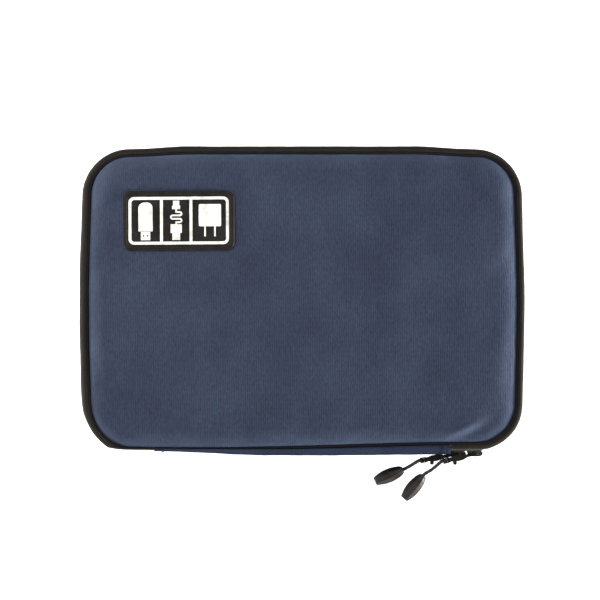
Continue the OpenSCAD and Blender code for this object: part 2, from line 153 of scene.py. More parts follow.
def mesh_piece(name, verts, faces, material, body, slot, cloth=None, smooth=True, node=None):
    """A mesh object from millimetre points. It stands for the CAD node, if one is given.

    cloth holds each point's place on its fabric.
    """
    mesh = bpy.data.meshes.new(name)
    mesh.from_pydata([tuple(v) for v in np.asarray(verts, dtype=float) * MM], [],
                     [tuple(int(i) for i in f) for f in faces])
    if cloth is not None:
        layer = mesh.attributes.new("cloth", "FLOAT_VECTOR", "POINT")
        flat = np.zeros((len(verts), 3), dtype=np.float32)
        flat[:, :2] = np.asarray(cloth, dtype=float) * MM
        layer.data.foreach_set("vector", flat.ravel())
    mesh.validate()
    mesh.polygons.foreach_set("use_smooth", [smooth] * len(mesh.polygons))
    bm = bmesh.new()
    bm.from_mesh(mesh)
    bmesh.ops.recalc_face_normals(bm, faces=bm.faces)
    bm.to_mesh(mesh)
    bm.free()
    obj = new_object(name, mesh)
    mesh.materials.append(material)
    if body:
        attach(obj, body)
    if node:
        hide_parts(node)
    return obj


def bevel(obj, width, segments=2, angle=35):
    mod = obj.modifiers.new("bevel", "BEVEL")
    mod.width = width * MM
    mod.segments = segments
    mod.limit_method = "ANGLE"
    mod.angle_limit = math.radians(angle)
    mod.harden_normals = False


def bridge(a, b, n):
    """Faces between two rings of n points that start at a and at b."""
    return [(a + k, a + (k + 1) % n, b + (k + 1) % n, b + k) for k in range(n)]


def fan(a, n, hub):
    """Faces from a ring of n points that starts at a to one point."""
    return [(a + k, a + (k + 1) % n, hub) for k in range(n)]


def loft_faces(count, n, closed=False, caps=True):
    """Faces along a row of rings of n points. The row meets itself, or has a cap at each end."""
    faces = []
    for i in range(count if closed else count - 1):
        faces += bridge(i * n, (i + 1) % count * n, n)
    if caps and not closed:
        faces += [tuple(reversed(range(n))), tuple(range((count - 1) * n, count * n))]
    return faces


def sheet_faces(columns, rows):
    """Faces of a thin closed sheet: a lower and an upper grid of points, and the rim."""
    layer = columns * rows
    faces = []
    for i in range(columns - 1):
        for k in range(rows - 1):
            a, b = i * rows + k, (i + 1) * rows + k
            faces += [(a, b, b + 1, a + 1), (layer + a, layer + a + 1, layer + b + 1, layer + b)]
        for a in (i * rows, i * rows + rows - 1):
            faces.append((a, a + rows, layer + a + rows, layer + a))
    for k in range(rows - 1):
        for a in (k, (columns - 1) * rows + k):
            faces.append((a, a + 1, layer + a + 1, layer + a))
    return faces


def merge(shapes):
    """One list of points and one of faces from several (points, faces) pairs."""
    verts, faces = [], []
    for v, f in shapes:
        start = len(verts)
        verts.extend(v)
        faces.extend([[start + i for i in face] for face in f])
    return verts, faces


def outline_path(x_start, x_end, step=2.0):
    """Points on the outline, counterclockwise from x_start to x_end on the spine side."""
    points, normals = [], []

    def straight(a, b, normal):
        count = max(1, int(round(np.linalg.norm(np.subtract(b, a)) / step)))
        for i in range(count):
            points.append(np.add(a, np.subtract(b, a) * i / count))
            normals.append(normal)

    def corner(cx, cy, a0):
        count = 18
        for i in range(count):
            a = math.radians(a0 + 90 * i / count)
            n = (math.cos(a), math.sin(a))
            points.append((cx + CORNER_R * n[0], cy + CORNER_R * n[1]))
            normals.append(n)

    cx, cy = CORNER_X, HALF_D - CORNER_R
    straight((x_start, -HALF_D), (cx, -HALF_D), (0, -1))
    corner(cx, -cy, -90)
    straight((HALF_W, -cy), (HALF_W, cy), (1, 0))
    corner(cx, cy, 0)
    straight((cx, HALF_D), (-cx, HALF_D), (0, 1))
    corner(-cx, cy, 90)
    straight((-HALF_W, cy), (-HALF_W, -cy), (-1, 0))
    corner(-cx, -cy, 180)
    straight((-cx, -HALF_D), (x_end, -HALF_D), (0, -1))
    points.append((x_end, -HALF_D))
    normals.append((0, -1))
    points, normals = np.array(points, dtype=float), np.array(normals, dtype=float)
    lengths = np.concatenate([[0], np.cumsum(np.linalg.norm(np.diff(points, axis=0), axis=1))])
    return points, normals, lengths


def closed_path(step=2.0):
    points, normals, lengths = outline_path(0, 0, step)
    return points[:-1], normals[:-1], lengths[:-1]


def sweep(path, profile, closed, shape=None):
    """Sweeps a closed profile of (out, z) points along a path. shape(s, out, z) may change it."""
    points, normals, lengths = path
    n, m = len(points), len(profile)
    around = np.concatenate([[0], np.cumsum([math.dist(profile[k], profile[(k + 1) % m])
                                             for k in range(m)])])
    verts, cloth = [], []
    for i in range(n):
        for k, (out, z) in enumerate(profile):
            if shape:
                out, z = shape(lengths[i], out, z)
            xy = points[i] + normals[i] * out
            verts.append((xy[0], xy[1], z))
            cloth.append((lengths[i], around[k]))
    return soften(verts), loft_faces(n, m, closed), cloth


def round_profile(out, z, r_out, r_z, count=12):
    return [(out + r_out * math.cos(2 * math.pi * k / count),
             z + r_z * math.sin(2 * math.pi * k / count)) for k in range(count)]


def thick_profile(line, thickness):
    """Gives an open line of (out, z) points a thickness, and closes it."""
    line = np.array(line, dtype=float)
    tangent = np.gradient(line, axis=0)
    tangent /= np.linalg.norm(tangent, axis=1)[:, None]
    side = np.stack([-tangent[:, 1], tangent[:, 0]], axis=1) * thickness / 2
    return [tuple(p) for p in line + side] + [tuple(p) for p in (line - side)[::-1]]


def smooth_line(points, per_span=5):
    """Catmull-Rom points through a few given ones."""
    p = np.array(points, dtype=float)
    p = np.vstack([2 * p[0] - p[1], p, 2 * p[-1] - p[-2]])
    out = []
    for i in range(1, len(p) - 2):
        for t in np.linspace(0, 1, per_span, endpoint=False):
            a, b, c, d = p[i - 1], p[i], p[i + 1], p[i + 2]
            out.append(0.5 * (2 * b + (c - a) * t + (2 * a - 5 * b + 4 * c - d) * t ** 2
                              + (3 * b - a - 3 * c + d) * t ** 3))
    out.append(p[-2])
    return np.array(out)


def run_along(line):
    """Distance along a line at each of its points."""
    return np.concatenate([[0], np.cumsum(np.linalg.norm(np.diff(line, axis=0), axis=1))])


def wave_noise(x, y, scale, seed=0.0):
    return noise.noise(Vector((x / scale, y / scale, seed)))


def scatter(name, shape, placements, material, body, slot="thread", node=None, soft=False):
    """Many copies of one small shape in one piece. A placement is (origin, x, y and z axis)."""
    part = np.asarray(shape[0], dtype=float)
    verts, faces = merge([(origin + part @ np.array(axes), shape[1]) for origin, *axes in placements])
    cloth = np.tile(part[:, :2], (len(placements), 1))
    return mesh_piece(name, soften(verts) if soft else verts, faces, material, body, slot, cloth,
                      node=node)


def capsule(length, radius, sides=6, flat=0.7):
    """A short stitch along x with rounded ends."""
    stations = [(-0.5, 0.25), (-0.38, 0.8), (-0.15, 1), (0.15, 1), (0.38, 0.8), (0.5, 0.25)]
    verts = [(t * length, radius * r * math.cos(2 * math.pi * k / sides),
              radius * flat * r * math.sin(2 * math.pi * k / sides))
             for t, r in stations for k in range(sides)]
    return verts, loft_faces(len(stations), sides)


def tube(points, radii, sides):
    """A round tube along 3D points, with a radius at each point."""
    p = np.array(points, dtype=float)
    n = len(p)
    tangent = np.gradient(p, axis=0)
    tangent /= np.linalg.norm(tangent, axis=1)[:, None]
    side = np.cross(tangent[0], (0, 0, 1))
    verts, cloth = [], []
    length = 0.0
    for i in range(n):
        side = side - tangent[i] * side.dot(tangent[i])
        side /= np.linalg.norm(side)
        up = np.cross(side, tangent[i])
        length += np.linalg.norm(p[i] - p[i - 1]) if i else 0
        for k in range(sides):
            a = 2 * math.pi * k / sides
            verts.append(p[i] + radii[i] * (side * math.cos(a) + up * math.sin(a)))
            cloth.append((length, radii[i] * a))
    return verts, loft_faces(n, sides), cloth


# ---------- materials ----------

class Nodes:
    """A short way to write a node material."""

    def __init__(self, name):
        self.mat = bpy.data.materials.new(name)
        self.mat.use_nodes = True
        self.tree = self.mat.node_tree

    def feed(self, node, inputs):
        """Links or sets each input of a node."""
        for key, value in inputs.items():
            if isinstance(value, bpy.types.NodeSocket):
                self.tree.links.new(value, node.inputs[key])
            else:
                node.inputs[key].default_value = value

    def add(self, kind, inputs=None, **settings):
        node = self.tree.nodes.new(kind)
        for key, value in settings.items():
            setattr(node, key, value)
        self.feed(node, inputs or {})
        return node

    def surface(self, inputs):
        """Feeds the surface shader and returns the finished material."""
        self.feed(self.tree.nodes["Principled BSDF"], inputs)
        return self.mat

    def math(self, operation, a, b=0.0):
        return self.add("ShaderNodeMath", {0: a, 1: b}, operation=operation).outputs[0]

    def mix(self, factor, a, b):
        return self.add("ShaderNodeMix", {0: factor, 6: a, 7: b}, data_type="RGBA").outputs[2]

    def place(self, source):
        """Coordinates in millimetres: on the fabric ("cloth") or in the object."""
        if source == "cloth":
            out = self.add("ShaderNodeAttribute", attribute_name="cloth").outputs["Vector"]
        else:
            out = self.add("ShaderNodeTexCoord").outputs["Object"]
        return self.add("ShaderNodeVectorMath", {0: out, 1: (1000, 1000, 1000)},
                        operation="MULTIPLY").outputs[0]

    def turned(self, place, degrees):
        return self.add("ShaderNodeVectorRotate", {"Vector": place, "Angle": math.radians(degrees)},
                        rotation_type="Z_AXIS").outputs[0]

    def stretched(self, place, scale):
        return self.add("ShaderNodeMapping", {"Vector": place, "Scale": scale}).outputs[0]

    def bands(self, place, pitch, axis="X", wobble=0.0):
        """Lines that repeat every pitch millimetres."""
        return self.add("ShaderNodeTexWave", {"Vector": place, "Scale": math.pi / (10 * pitch),
                        "Distortion": wobble, "Detail": 1.0, "Detail Scale": 0.7},
                        bands_direction=axis).outputs["Fac"]

    def cloud(self, place, size, detail=3.0):
        return self.add("ShaderNodeTexNoise", {"Vector": place, "Scale": 1 / size,
                        "Detail": detail, "Roughness": 0.55}).outputs["Fac"]

    def ramp(self, value, low, high, to_low=0.0, to_high=1.0):
        return self.add("ShaderNodeMapRange", {"Value": value, "From Min": low, "From Max": high,
                        "To Min": to_low, "To Max": to_high}).outputs[0]

    def bump(self, height, depth, strength):
        return self.add("ShaderNodeBump", {"Height": height, "Distance": depth * MM,
                        "Strength": strength}).outputs[0]


def rgb(r, g, b):
    return (r, g, b, 1.0)


def brighter(colour, times, plus=0.0):
    return rgb(*(min(1.0, c * times + plus) for c in colour[:3]))


def ribbed_fabric(name, source="object", painted_sheen=1.0, painted_shade_tone=1.0, shine=1.0):
    """Navy polyester with a fine irregular rib, a soft sheen, and a painted sheen highlight that turns
    the shoulders paler.
    """
    n = Nodes(name)
    place = n.place(source)
    ribs = n.bands(place, 1.0, "X", wobble=2.6)
    picks = n.bands(place, 0.7, "Y", wobble=1.6)
    fine = n.cloud(place, 0.55, 2.0)
    dashes = n.cloud(n.stretched(place, (1.0, 0.34, 0.34)), 0.75, 2.0)
    patches = n.cloud(place, 34, 3.0)
    weave = n.math("ADD", n.math("MULTIPLY", ribs, 0.24),
                   n.math("ADD", n.math("MULTIPLY", picks, 0.18), n.math("MULTIPLY", dashes, 0.68)))

    # Both colours can be darkened together, which makes a shaded copy of the fabric: painted shade.
    def patchy(dark, light):
        return n.mix(n.ramp(patches, 0.3, 0.7), brighter(dark, painted_shade_tone), brighter(light, painted_shade_tone))

    cloth = n.mix(n.ramp(weave, 0.36, 0.74), patchy((0.0090, 0.0120, 0.0238), (0.0122, 0.0168, 0.0310)),
                  patchy((0.0202, 0.0252, 0.0455), (0.0266, 0.0345, 0.0590)))
    # Painted sheen highlight: the colour turns paler where the surface tilts away from facing straight
    # up, standing in for the light that the shoulders catch.
    tilt = n.add("ShaderNodeSeparateXYZ", {0: n.add("ShaderNodeNewGeometry").outputs["Normal"]})
    shoulder = n.ramp(n.math("ABSOLUTE", tilt.outputs["Z"]), 0.995, 0.86)
    painted_highlight = n.math("MULTIPLY", shoulder, n.ramp(patches, 0.3, 0.7, 0.16 * painted_sheen, 0.32 * painted_sheen))
    height = n.math("ADD", weave, n.math("MULTIPLY", fine, 0.3))
    return n.surface({"Base Color": n.mix(painted_highlight, cloth, rgb(0.115, 0.160, 0.235)),
                      "Roughness": n.ramp(fine, 0, 1, 0.46, 0.68),
                      "Sheen Weight": 0.012 * shine, "Sheen Roughness": 0.35,
                      "Sheen Tint": rgb(0.62, 0.76, 1.0), "Specular IOR Level": 0.10 * shine,
                      "Normal": n.bump(height, 0.2, 0.8)})


def woven_band(name, dark, light, pitch, twill=0.0, roughness=0.8, depth=0.12, source="cloth",
               sheen=0.02):
    """Narrow woven goods: tape, webbing, binding or lining."""
    n = Nodes(name)
    place = n.place(source)
    turned = n.turned(place, twill) if twill else place
    warp = n.bands(turned, pitch, "X", wobble=0.6)
    weft = n.bands(turned, pitch * 1.3, "Y", wobble=0.6)
    weave = n.math("MAXIMUM", n.math("MULTIPLY", warp, weft), n.math("MULTIPLY", warp, 0.45))
    dust = n.math("MULTIPLY", n.ramp(n.cloud(place, 9, 4.0), 0.45, 0.8), 0.3)
    colour = n.mix(n.ramp(weave, 0.1, 0.9), rgb(*dark), rgb(*light))
    fuzz = n.math("MULTIPLY", n.cloud(place, 0.4, 2.0), 0.4)
    return n.surface({"Base Color": n.mix(dust, colour, brighter(light, 1.5)),
                      "Roughness": roughness, "Specular IOR Level": 0.08,
                      "Sheen Weight": sheen, "Sheen Roughness": 0.5,
                      "Normal": n.bump(n.math("ADD", weave, fuzz), depth, 0.8)})


def moulded(name, colour, roughness, grain=0.35, depth=0.03, wear=0.0, coat=0.0, gloss=0.2):
    """Moulded or cast pieces with a fine grain, uneven gloss and light wear."""
    n = Nodes(name)
    place = n.place("object")
    broad = n.cloud(place, 5.0, 3.0)
    base = n.mix(n.ramp(broad, 0.35, 0.75), rgb(*colour), brighter(colour, 1.8, 0.002))
    if wear:
        scratches = n.cloud(n.stretched(place, (0.25, 2.5, 1.0)), 0.8, 5.0)
        worn = n.math("MULTIPLY", n.ramp(scratches, 0.62, 0.72), wear)
        base = n.mix(worn, base, rgb(0.42, 0.31, 0.24))
        n.surface({"Metallic": worn})
    return n.surface({"Base Color": base,
                      "Roughness": n.ramp(broad, 0.3, 0.7, roughness - 0.08, roughness + 0.1),
                      "Specular IOR Level": gloss, "Coat Weight": coat, "Coat Roughness": 0.25,
                      "Normal": n.bump(n.cloud(place, grain, 3.0), depth, 0.6)})


def braid(name):
    """Round braided cord: two crossing sets of strands."""
    n = Nodes(name)
    place = n.place("cloth")
    strands = n.math("MAXIMUM", n.bands(n.turned(place, 40), 0.75), n.bands(n.turned(place, -40), 0.75))
    return n.surface({"Base Color": n.mix(strands, rgb(0.003, 0.0025, 0.0025), rgb(0.014, 0.012, 0.010)),
                      "Roughness": 0.62, "Specular IOR Level": 0.1, "Sheen Weight": 0.03,
                      "Normal": n.bump(strands, 0.15, 0.9)})


navy = ribbed_fabric("navy_rib")
# The spine's navy is a shaded copy of the same fabric: its colour is darkened to 0.72 as painted shade
# on the upright spine, and its painted shoulder sheen is cut to a tenth.
navy_spine = ribbed_fabric("navy_rib_spine", "cloth", painted_sheen=0.1, painted_shade_tone=0.72, shine=0.0)
gusset_cloth = woven_band("gusset_twill", (0.0045, 0.0032, 0.0022), (0.0125, 0.0092, 0.0062), 0.75,
                          twill=38, roughness=0.72)
piping_cloth = woven_band("piping_bias", (0.0012, 0.0012, 0.002), (0.005, 0.005, 0.0075), 0.6,
                          twill=45, roughness=0.75, sheen=0.0)
tape_cloth = woven_band("zipper_tape_weave", (0.004, 0.0037, 0.0034), (0.013, 0.012, 0.011), 0.55,
                        roughness=0.75)
binding_cloth = woven_band("binding_grosgrain", (0.006, 0.006, 0.006), (0.024, 0.024, 0.026), 0.7,
                           roughness=0.7, depth=0.2)
lining_cloth = woven_band("lining_weave", (0.030, 0.032, 0.036), (0.070, 0.073, 0.082), 0.5,
                          roughness=0.6, source="object", depth=0.08)
elastic_cloth = woven_band("elastic_webbing", (0.008, 0.008, 0.009), (0.05, 0.05, 0.054), 0.95,
                           depth=0.25)
thread_look = woven_band("thread_twist", (0.010, 0.010, 0.011), (0.038, 0.038, 0.042), 0.35,
                         twill=50, roughness=0.5)
net_thread = woven_band("net_thread", (0.012, 0.012, 0.013), (0.05, 0.05, 0.055), 0.4,
                        source="object", roughness=0.6)
nylon = moulded("zipper_nylon", (0.007, 0.007, 0.007), 0.42)
slider_paint = moulded("slider_paint", (0.012, 0.009, 0.007), 0.30, wear=0.85, coat=0.2, gloss=0.4)
tab_plastic = moulded("tab_plastic", (0.004, 0.0038, 0.0035), 0.45, gloss=0.12)
grip_rubber = moulded("grip_rubber", (0.0095, 0.008, 0.0068), 0.40, grain=0.5, depth=0.05, gloss=0.22)
badge_rubber = moulded("badge_rubber", (0.0048, 0.0038, 0.0034), 0.55, grain=0.3, gloss=0.1)
badge_ink = moulded("badge_ink", (0.36, 0.365, 0.33), 0.6, grain=0.4, gloss=0.1)
foam_look = moulded("foam_cells", (0.05, 0.05, 0.05), 0.9, grain=0.9, depth=0.3)
cord_braid = braid("cord_braid")


# ---------- padded panels ----------

# Distances inwards from the seam, then scales of the last of those rings, down to the middle.
PAD_RINGS = [0, 0.35, 0.8, 1.4, 2.2, 3.2, 4.4, 5.8, 7.4, 9.2, 11.2, 13.4, 15.8, 18.2, 20.4]
PAD_SCALES = [0.955, 0.91, 0.86, 0.81, 0.76, 0.7, 0.64, 0.58, 0.52, 0.46, 0.4, 0.34, 0.28,
              0.22, 0.16, 0.1, 0.05]
# centre x and y, direction in degrees, length, width and depth
CREASES = ((87, -73.5, 29, 13, 2.6, 0.85), (98, -64, 42, 10, 4.0, 0.2),
           (-100, -60, -38, 15, 4.0, 0.35), (101, 62, -40, 12, 3.5, 0.3),
           (-102, 63, 42, 12, 3.5, 0.25))


def crease(x, y):
    """Soft folds near the lower right corner, and a slighter one at each other corner."""
    total = 0.0
    for cx, cy, angle, length, width, depth in CREASES:
        a = math.radians(angle)
        u = (x - cx) * math.cos(a) + (y - cy) * math.sin(a)
        v = -(x - cx) * math.sin(a) + (y - cy) * math.cos(a)
        total += depth * math.exp(-(u / length) ** 2) * (
            math.exp(-(v / width) ** 2) - 1.1 * math.exp(-((v + 1.9 * width) / width) ** 2))
    return total


def padded_panel(name, nodes, side, edge_z, crown, shoulder, flat_z, body, wrinkle):
    """Closed padded shell: fabric over foam. side is +1 when its face looks up, -1 when down."""
    points, normals, lengths = closed_path(1.6)
    n = len(points)

    def height(x, y, inside, s):
        t = min(inside / shoulder, 1.0)
        rise = 0.4 * math.sqrt(max(0.0, 1 - (1 - t) ** 2)) + 0.6 * math.sin(math.pi * t / 2)
        broad = 0.35 * wave_noise(x, y, 46, 3.1) + 0.22 * wave_noise(x, y, 21, 7.7)
        pucker = 0.16 * wave_noise(s, inside * 2.5, 5.2, 1.3) * math.exp(-inside / 5.0)
        swell = 0.35 * math.cos(math.pi * x / (2.2 * HALF_W)) * math.cos(math.pi * y / (2.2 * HALF_D))
        soft = (broad + crease(x, y)) * min(1.0, inside / 8.0) + swell * rise
        return edge_z + side * (crown * rise + wrinkle * (soft + pucker))

    rings = [(points + normals * (PANEL_OUT - inside), inside) for inside in PAD_RINGS]
    rings += [(rings[-1][0] * scale, shoulder + 10) for scale in PAD_SCALES]
    verts = [(x, y, height(x, y, inside, s))
             for ring, inside in rings for (x, y), s in zip(ring, lengths)]
    centre = len(verts)
    verts.append((0, 0, height(0, 0, shoulder + 10, 0)))
    faces = loft_faces(len(rings), n, caps=False) + fan(centre - n, n, centre)
    # the hidden side, against the lining
    for inside, z in ((0.15, edge_z - side * 0.5), (3.5, flat_z)):
        verts.extend((x, y, z) for x, y in points + normals * (PANEL_OUT - inside))
    hub = len(verts)
    verts.append((0, 0, flat_z))
    faces += bridge(0, centre + 1, n) + bridge(centre + 1, centre + 1 + n, n) + fan(hub - n, n, hub)
    obj = mesh_piece(name, soften(verts), faces, navy, body, "navy_fabric")
    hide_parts(*nodes)
    return obj, centre + 1


SHEET_CELL = 3.0
SETTLE_FRAMES = 20
WRINKLE_CAP = 0.45
CLOTH_SETTINGS = {"quality": 6, "mass": 0.25, "tension_stiffness": 20, "compression_stiffness": 20,
                  "shear_stiffness": 8, "bending_stiffness": 0.6, "air_damping": 3,
                  "vertex_group_mass": "held", "shrink_min": -0.02, "use_pressure": True,
                  "uniform_pressure_force": 1.5}


def settled_wrinkles():
    """Cloth simulation of the slack outer fabric on its padding.

    The sheet is a regular grid, held outside the seam and pushed up by the padding. It returns the
    grid's x and y places and the height of its wrinkles in millimetres, without the broad swell.
    """
    xs = np.arange(-HALF_W, HALF_W + SHEET_CELL, SHEET_CELL)
    ys = np.arange(-HALF_D, HALF_D + SHEET_CELL, SHEET_CELL)
    columns, rows = len(xs), len(ys)
    gx, gy = np.meshgrid(xs, ys, indexing="ij")
    inner_x, inner_y = CORNER_X, HALF_D - CORNER_R
    past = np.hypot(np.maximum(np.abs(gx) - inner_x, 0), np.maximum(np.abs(gy) - inner_y, 0))
    inside = CORNER_R - past + PANEL_OUT
    start = np.array([[0.25 * wave_noise(x, y, 11, 4.4) + crease(x, y) * 0.5 for y in ys]
                      for x in xs])
    start = np.where(inside > 0, start, 0.0)
    places = np.stack([gx, gy, start], axis=-1).reshape(-1, 3)
    quads = [(i * rows + k, (i + 1) * rows + k, (i + 1) * rows + k + 1, i * rows + k + 1)
             for i in range(columns - 1) for k in range(rows - 1)]
    mesh = bpy.data.meshes.new("settling")
    mesh.from_pydata([tuple(p) for p in places * MM], [], quads)
    work = new_object("settling", mesh)
    group = work.vertex_groups.new(name="held")
    group.add([int(i) for i in np.flatnonzero(inside.ravel() < 1.5)], 1.0, "REPLACE")
    cloth = work.modifiers.new("cloth", "CLOTH")
    for key, value in CLOTH_SETTINGS.items():
        setattr(cloth.settings, key, value)
    cloth.settings.effector_weights.gravity = 0
    cloth.collision_settings.use_collision = False
    cloth.collision_settings.use_self_collision = False
    cloth.point_cache.frame_start = 1
    cloth.point_cache.frame_end = SETTLE_FRAMES
    scene = bpy.context.scene
    for step in range(1, SETTLE_FRAMES + 1):
        scene.frame_set(step)
    done = work.evaluated_get(bpy.context.evaluated_depsgraph_get())
    moved = np.empty(len(places) * 3)
    done.data.vertices.foreach_get("co", moved)
    height = moved.reshape(columns, rows, 3)[:, :, 2] / MM - start
    scene.frame_set(1)
    bpy.data.objects.remove(work)
    bpy.data.meshes.remove(mesh)
    height = blurred(height, 1)
    wrinkles = height - blurred(height, 7)
    spread = max(float(np.abs(wrinkles[inside > 6]).max()), 1e-6)
    wrinkles *= np.clip(inside / 9.0, 0, 1) * min(1.0, 1.6 * WRINKLE_CAP / spread)
    return xs, ys, WRINKLE_CAP * np.tanh(wrinkles / WRINKLE_CAP)


def blurred(grid, reach):
    """Mean over a square of cells round each one."""
    for axis in (0, 1):
        width = [(0, 0), (0, 0)]
        width[axis] = (reach, reach)
        padded = np.pad(grid, width, mode="edge")
        size = grid.shape[axis]
        grid = sum(np.take(padded, range(i, i + size), axis=axis)
                   for i in range(2 * reach + 1)) / (2 * reach + 1)
    return grid


def add_wrinkles(obj, top_count):
    """Adds the simulated wrinkles to the first top_count points of a panel."""
    xs, ys, wrinkles = settled_wrinkles()
    for vertex in obj.data.vertices[:top_count]:
        u = min(max((vertex.co.x / MM - xs[0]) / SHEET_CELL, 0), len(xs) - 1.001)
        v = min(max((vertex.co.y / MM - ys[0]) / SHEET_CELL, 0), len(ys) - 1.001)
        i, k = int(u), int(v)
        fu, fv = u - i, v - k
        vertex.co.z += MM * ((1 - fu) * ((1 - fv) * wrinkles[i, k] + fv * wrinkles[i, k + 1])
                             + fu * ((1 - fv) * wrinkles[i + 1, k] + fv * wrinkles[i + 1, k + 1]))
    obj.data.update()


def build_panels():
    front, count = padded_panel("front_pad", ("front_panel", "front_foam"), 1, TOP_Z - 2.7, 2.7,
                                11.0, roof_high[2] + 0.1, "lid", 1.0)
    padded_panel("back_pad", ("back_panel", "back_foam"), -1, 1.3, 1.2, 9.0, lining_low[2] - 0.1,
                 "base", 0.0)
    add_wrinkles(front, count)


# ---------- piping, gusset and zipper ----------

def build_piping():
    for name, node, body, z in (("front_piping_roll", "front_piping", "lid", TOP_Z - 2.5),
                                ("back_piping_roll", "back_piping", "base", 1.25)):
        def wander(s, out, height, seed=len(name)):
            return (out + 0.12 * wave_noise(s, 0, 9, seed), height + 0.1 * wave_noise(s, 5, 7, seed))
        verts, faces, cloth = sweep(closed_path(1.6), round_profile(PANEL_OUT + 0.7, z, 0.8, 0.95),
                                    True, wander)
        mesh_piece(name, verts, faces, piping_cloth, body, "piping", cloth, node=node)


def gusset_line(low, high, flip):
    """Side of one half from the piping round the shoulder to the hemmed edge by the zipper."""
    reach = high - low
    line = [(-2.7, high - 0.3), (-1.5, high + 0.25), (-0.3, high - 0.6), (0.1, high - 2.2),
            (0.25, low + reach * 0.45), (0.15, low + 1.1), (-0.05, low + 0.15), (-0.45, low + 0.05),
            (-0.75, low + 1.3)]
    if flip:
        line = [(out, low + high - z) for out, z in line]
    return thick_profile(smooth_line(line, 3), 0.7)


def build_gussets():
    end = SPINE_X - 0.3
    for name, node, body, low, high, flip, seed in (
            ("front_gusset_band", "front_gusset", "lid", gusset_low[2], TOP_Z - 1.9, False, 4.0),
            ("back_gusset_band", "back_gusset", "base", 1.1, base_gusset_high[2], True, 11.0)):
        def wander(s, out, z, seed=seed):
            slack = 0.45 * wave_noise(s, 0, 26, seed) + 0.18 * wave_noise(s, z, 6, seed + 3)
            calm = 0.25 if out < -1.2 else 1.0
            return out + calm * slack * 0.55, z + calm * 0.2 * wave_noise(s, 9, 14, seed)
        verts, faces, cloth = sweep(outline_path(end, -end, 1.6), gusset_line(low, high, flip),
                                    False, wander)
        mesh_piece(name, verts, faces, gusset_cloth, body, "gusset_fabric", cloth, node=node)


def build_tapes():
    for name, node, body, start in (
            ("base_tape_weave", "base_zipper_tape", "base", ZIP_END_X),
            ("lid_tape_weave", "lid_zipper_tape", "lid", LID_ZIP_START_X)):
        low, high = (corner[2] for corner in box_mm(node))
        line = [(-1.3, low), (-1.2, low + (high - low) / 2), (-1.3, high)]
        profile = thick_profile(smooth_line(line, 3), 0.55)
        verts, faces, cloth = sweep(outline_path(start, -ZIP_END_X, 1.8), profile, False)
        mesh_piece(name, verts, faces, tape_cloth, body, "zipper_tape", cloth, node=node)


def tooth(depth, height, width):
    """One moulded tooth: wide foot on the tape, waist, and a rounded head. z points to the head."""
    stations = [(0.0, 1.0, 0.8), (0.35, 1.0, 1.0), (0.55, 0.72, 0.95), (0.8, 0.95, 1.0),
                (1.0, 0.6, 0.7)]
    verts = []
    for t, w, d in stations:
        hw, hd = width * w / 2, depth * d / 2
        for x, y in ((-hw, -hd * 0.6), (-hw * 0.6, -hd), (hw * 0.6, -hd), (hw, -hd * 0.6),
                     (hw, hd * 0.6), (hw * 0.6, hd), (-hw * 0.6, hd), (-hw, hd * 0.6)):
            verts.append((x, y, t * height))
    return verts, loft_faces(len(stations), 8)


def spaced(path, pitch, offset):
    """Even places along a path: point, direction along it, and outward normal."""
    points, normals, lengths = path
    places = []
    s = offset
    while s < lengths[-1] - 0.5:
        x, y = (np.interp(s, lengths, points[:, i]) for i in (0, 1))
        n = np.array([np.interp(s, lengths, normals[:, i]) for i in (0, 1)])
        n /= np.linalg.norm(n)
        places.append((np.array((x, y)), np.array((-n[1], n[0])), n))
        s += pitch
    return places


TOOTH_PITCH = 2.1
TEETH_OUT = -1.3
STITCH_PITCH = 3.2


def build_teeth():
    shape = tooth(2.1, 2.35, 1.25)
    for name, node, body, up, offset, start in (
            ("base_teeth_row", "base_zipper_teeth", "base", 1, 0.0, ZIP_END_X),
            ("lid_teeth_row", "lid_zipper_teeth", "lid", -1, TOOTH_PITCH / 2, LID_ZIP_START_X)):
        foot = ZIP_Z - up * 1.75
        placements = []
        for point, along, out in spaced(outline_path(ZIP_END_X, -ZIP_END_X, 1.8), TOOTH_PITCH,
                                        offset + 1.0):
            if 0 < point[0] < start and point[1] < -HALF_D + 0.4:
                continue
            placements.append(((*(point + out * TEETH_OUT), foot), (*along, 0), (*out, 0), (0, 0, up)))
        scatter(name, shape, placements, nylon, body, "zipper_teeth", node, soft=True)


def build_side_stitches():
    """One sewn line on each gusset, beside the zipper."""
    end = SPINE_X + 2
    for name, body, z in (("front_edge_stitches", "lid", gusset_low[2] + 1.1),
                          ("back_edge_stitches", "base", base_gusset_high[2] - 1.1)):
        placements = [((*(point + out * 0.5), z), (*along, 0), (0, 0, 1), (*out, 0))
                      for point, along, out in spaced(outline_path(end, -end, 1.8), STITCH_PITCH, 1.5)]
        scatter(name, capsule(2.3, 0.26), placements, thread_look, body, soft=True)


def finish_cad(node, material, round_mm):
    """Gives a CAD node that stays in view its material and rounded edges."""
    obj = frame["nodes"][node]
    obj.data.materials.clear()
    obj.data.materials.append(material)
    bevel(obj, round_mm, 2, 30)


def build_end_stops():
    for node in ("zipper_end_stops", "pocket_end_stops"):
        finish_cad(node, slider_paint, 0.15)


# ---------- spine ----------

HEM = 4.6                             # from the strip's end to its end seam
SPINE_STITCH_PITCH = 1.7


def over_fold(obj):
    """Bakes a piece's placement into its points."""
    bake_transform(obj)


